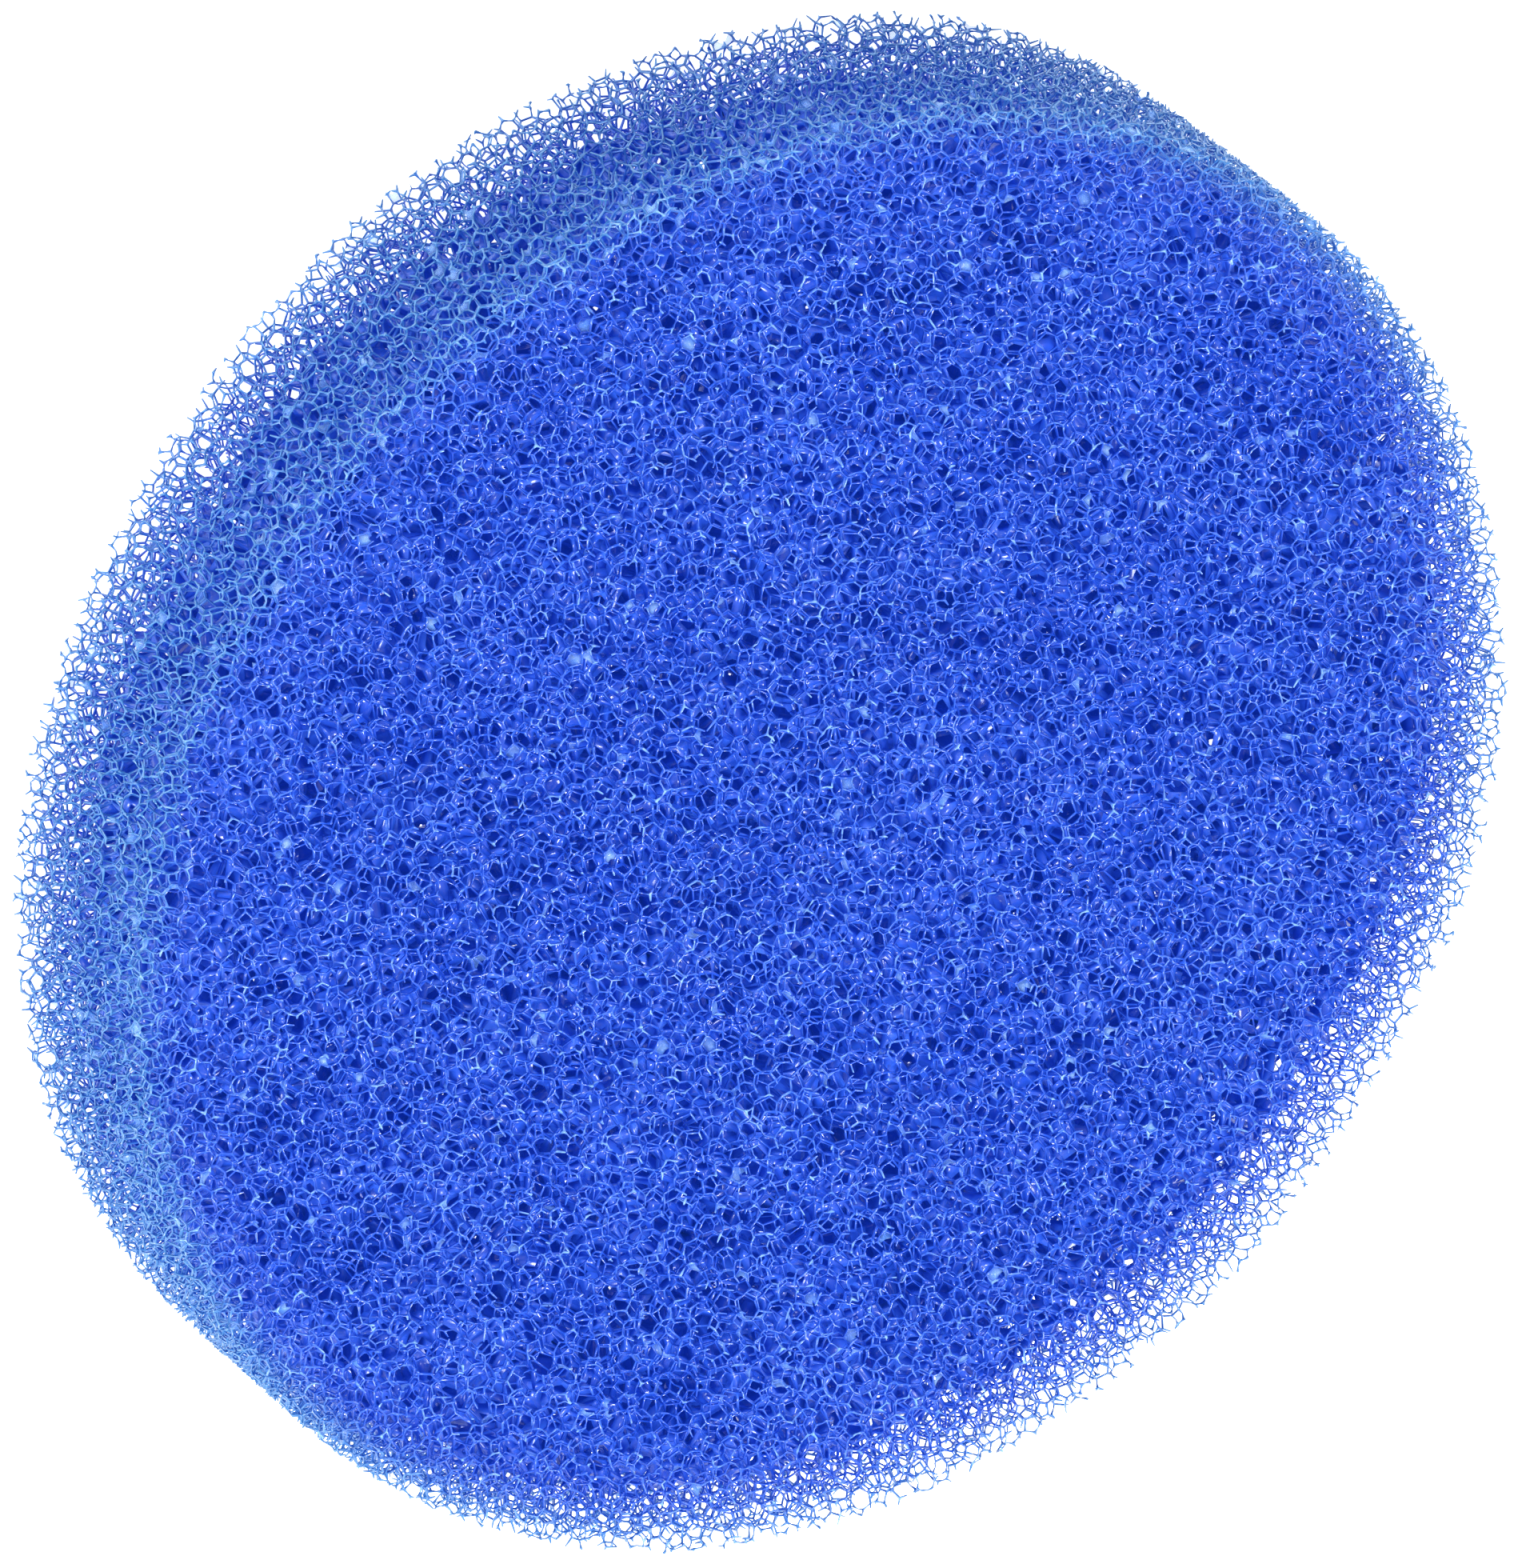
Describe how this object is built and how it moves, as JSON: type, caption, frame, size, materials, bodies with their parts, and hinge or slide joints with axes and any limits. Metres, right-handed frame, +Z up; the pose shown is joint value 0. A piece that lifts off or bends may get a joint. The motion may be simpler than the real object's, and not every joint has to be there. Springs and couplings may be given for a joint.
{
  "type": "round foam filter pad",
  "caption": "Round pad of coarse open-cell foam that catches debris from the water passing through an aquarium or pond filter canister.",
  "frame": {"origin": "centre of the pad's lower face, where it rests on the tray or on the pad below", "axes": "+Z up through the pad's thickness, which is the way the water flows or its opposite; X and Y lie in the face, and are alike because the pad is round"},
  "size_m": [0.15, 0.15, 0.025],
  "materials": {
    "foam": "blue reticulated polyurethane ether foam, coarse open cells of about 15 pores per inch, thin satin strands, soft and springy"
  },
  "bodies": {
    "root": {"foam_pad": "foam"}
  },
  "joints": []
}
